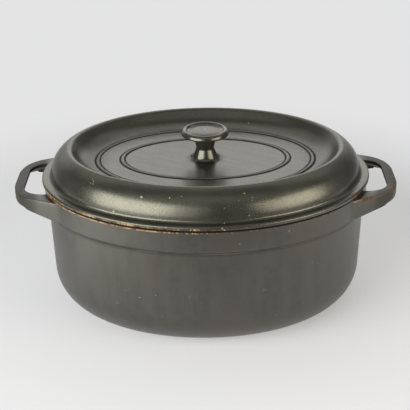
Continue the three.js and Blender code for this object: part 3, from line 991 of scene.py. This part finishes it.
# %% [markdown]
# ## The paper floor
# The photograph has a pale paper floor without a horizon and a soft shadow to the right. The floor is lit paper near
# the pot and fades to the room's own pale tone, so that it has no edge. Outside the picture, where only reflections
# see it, a painted glow stands in for the light of the nearer light box on the left and of the other on the right,
# and painted shade darkens it under the camera.

# %% Floor: sheet of paper
floor_radius = 0.75
floor_place = (0, 0.1, -0.0003)

bpy.ops.object.select_all(action="DESELECT")
bpy.ops.mesh.primitive_circle_add(vertices=round_corners, radius=floor_radius, fill_type="NGON", location=floor_place)
floor = bpy.context.object
floor.name = floor.data.name = "paper_floor"
print("the floor is", 2 * floor_radius, "m across")

# %% Floor: brightness outside the picture
paper_colour = (0.775, 0.775, 0.78, 1)
lit_colour = (0.875, 0.885, 0.915, 1)
camera_shade_grey = (0.30, 0.30, 0.31, 1)
right_glow = (0.95, 0.93, 0.89, 1)
left_glow = (1.8, 1.8, 1.75, 1)

paper = Finish("paper_floor")
paper.constant(Roughness=0.9, Specular_IOR_Level=0.1)
x, y = paper.x, paper.y
unseen = 1 - paper.start.node("ShaderNodeLightPath", output="Is Camera Ray")
# Painted glow to the left and right and painted shade under the camera, seen only in reflections.
left_floor = (0 - x).rises(0.17, 0.27) * y.falls(-0.2, -0.08) * unseen
right_floor = x.rises(0.2, 0.32) * unseen
camera_shade = (0 - y).rises(0.33, 0.46) * unseen
mixed(camera_shade, lit_colour, camera_shade_grey).feed(paper.surface, "Base Color")
glow_colour = mixed(left_floor, mixed(right_floor, paper_colour, right_glow), left_glow)
glow = paper.start.node("ShaderNodeEmission", None, {"Color": glow_colour})
print("paper has the colour", paper_colour[:3])

# %% Floor: fade from lit paper to the room's tone
away = paper.start.node("ShaderNodeVectorMath", {"operation": "LENGTH"}, {0: paper.place}, "Value")
clear = paper.oval(155, narrower=30).rises(0.5, 1.05)
# Painted light and shade: more glow on the left floor and less on the right deepens the shadow there.
painted_light_left = (0 - x - 0.3 * y).rises(-0.1, 0.2)
painted_shade_right = (x - 0.4 * y).rises(0.06, 0.2)
out_of_view = paper.beyond(200, 320)
share = (0.40 + 0.12 * painted_light_left - 0.10 * painted_shade_right) * clear * (1 - 0.8 * out_of_view.larger(camera_shade))
behind = away.rises(0.15, 0.5) * y.rises(-0.02, 0.12)
far_edge = away.rises(0.5, 0.72)
paper.share(largest(share, behind, far_edge, 0.9 * left_floor, 0.9 * right_floor), glow)
paper.put_on(floor)

# %% [markdown]
# ## The room
# The camera sees a plain pale room. Reflections see the pale backdrop behind the pot too, and a darker room
# elsewhere, because the roll of the lid mirrors such a room. Only reflections see the backdrop, so it puts no more
# light on the pot.

# %% Room
room_level = 0.21

world = bpy.data.worlds.new("room")
bpy.context.scene.world = world
world.use_nodes = True
room = Shade(world.node_tree)
across, depth, height = room.node("ShaderNodeTexCoord", output="Generated").parts()
rays = room.node("ShaderNodeLightPath").socket.node.outputs
ray_names = ("Is Camera Ray", "Is Transmission Ray", "Is Glossy Ray")
camera_ray, transmission_ray, glossy_ray = (Shade(world.node_tree, rays[name]) for name in ray_names)
backdrop = glossy_ray * (depth - 0.15 * across).rises(0.6, 0.9) * height.falls(0.42, 0.75)
upper_back = depth.rises(0.05, 0.3) * height.rises(0.5, 0.75)
sides = (across * across).rises(0.45, 0.8)
beside = (across * across).rises(0.02, 0.2)
front = (0 - depth).rises(0.4, 0.9)
ceiling = (0 - depth).rises(0.2, 0.5) * height.rises(0.55, 0.8)
level = room_level + (0.55 + 1.17 * height.rises(0.1, 0.38)) * (1 - 0.45 * beside) * backdrop
level = level + 0.6 * upper_back - 0.04 * sides - 0.11 * front + 0.42 * ceiling
mixed(camera_ray.larger(transmission_ray), level, paper_colour).feed(world.node_tree.nodes["Background"], "Color")
print("the room has", len(world.node_tree.nodes), "nodes")

# %% [markdown]
# ## Light boxes
# The roll of the lid mirrors two light boxes, left and right of the camera. Each fades at its sides, so it is made of
# two area lamps, one of them wider and softer. The camera doesn't see them.

# %% Light boxes
light_aim = Vector((0, 0, 0.12))


def light_box(name, azimuth, elevation, distance, width, height, brightness, colour):
    """A soft box that points at the pot; azimuth is to the right of the camera's side."""
    data = bpy.data.lights.new(name, "AREA")
    data.shape = "RECTANGLE"
    data.size = width
    data.size_y = height
    data.color = colour
    data.energy = brightness * math.pi * width * height
    lamp = bpy.data.objects.new(name, data)
    turned, raised = math.radians(azimuth), math.radians(elevation)
    towards = Vector((math.sin(turned) * math.cos(raised), -math.cos(turned) * math.cos(raised), math.sin(raised)))
    lamp.location = light_aim + towards * distance
    lamp.rotation_mode = "QUATERNION"
    lamp.rotation_quaternion = towards.to_track_quat("Z", "Y")
    lamp.visible_camera = False
    bpy.context.scene.collection.objects.link(lamp)
    print(name, "gives", round(data.energy, 1), "W")


light_box("left_light_box", azimuth=-47, elevation=14, distance=1.3, width=1.28, height=0.95, brightness=4.7,
          colour=(1.0, 0.99, 0.95))
light_box("left_box_edge", azimuth=-38, elevation=14, distance=1.35, width=1.75, height=1.0, brightness=1.3,
          colour=(1.0, 0.99, 0.95))
light_box("right_light_box", azimuth=66, elevation=15, distance=1.3, width=0.8, height=0.78, brightness=1.4,
          colour=(1.0, 0.93, 0.80))
light_box("right_box_edge", azimuth=54, elevation=15, distance=1.35, width=1.05, height=0.85, brightness=3.05,
          colour=(1.0, 0.94, 0.82))

# %% [markdown]
# ## View
# Colours are shown as they are written.

# %% Finish
bpy.context.scene.view_settings.view_transform = "Standard"
